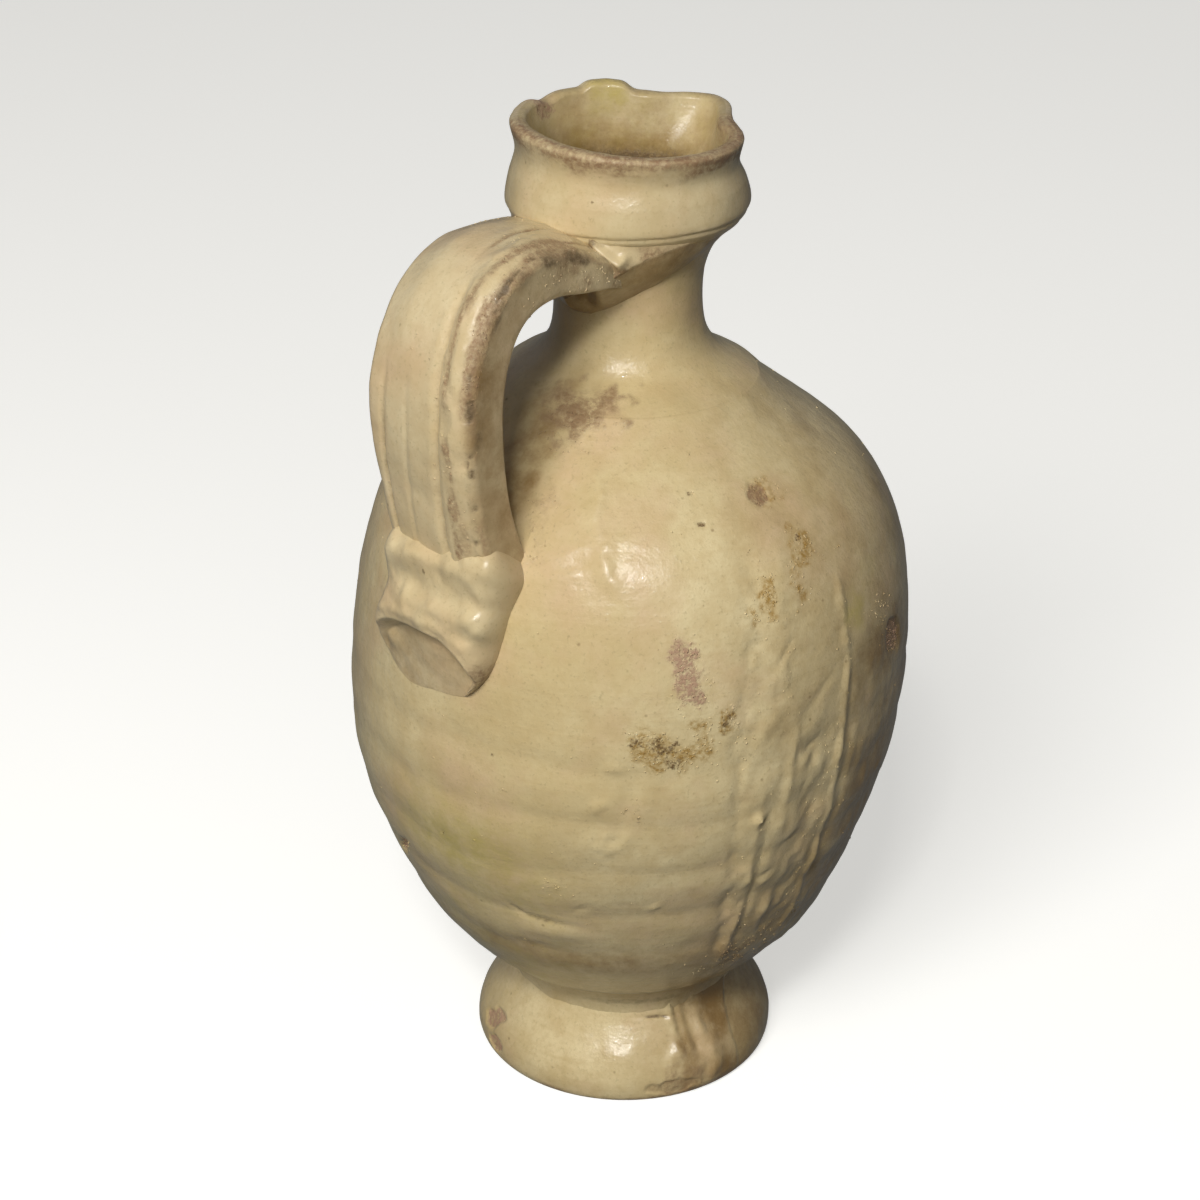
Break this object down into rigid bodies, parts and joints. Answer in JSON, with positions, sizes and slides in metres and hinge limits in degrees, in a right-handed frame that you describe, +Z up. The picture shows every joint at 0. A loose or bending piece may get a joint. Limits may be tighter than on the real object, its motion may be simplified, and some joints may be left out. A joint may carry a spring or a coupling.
{
  "type": "oil cruet",
  "caption": "Wheel-thrown glazed earthenware oil cruet: full body on a spread foot, narrow neck, collared mouth pinched to a pouring lip, and a grooved strap handle.",
  "frame": {"origin": "centre of the foot's flat underside, on the table", "axes": "+Z up along the axis of the thrown body, handle towards -X, pouring lip towards +X"},
  "size_m": [0.143, 0.138, 0.2503],
  "materials": {
    "body_glaze": "glossy cream-yellow glaze, stained and pitted",
    "foot_glaze": "glossy cream-yellow glaze, worn brown at the edge",
    "collar_glaze": "glossy cream-yellow glaze, worn to brown clay at the rim",
    "handle_glaze": "glossy cream-yellow glaze, worn brown along one edge"
  },
  "bodies": {
    "root": {"foot": "foot_glaze", "foot_coil": "foot_glaze", "lower_bowl": "body_glaze", "shoulder_dome": "body_glaze", "neck": "body_glaze", "collar": "collar_glaze", "handle_strap": "handle_glaze", "handle_pad": "handle_glaze", "root_wad": "handle_glaze"}
  },
  "joints": []
}
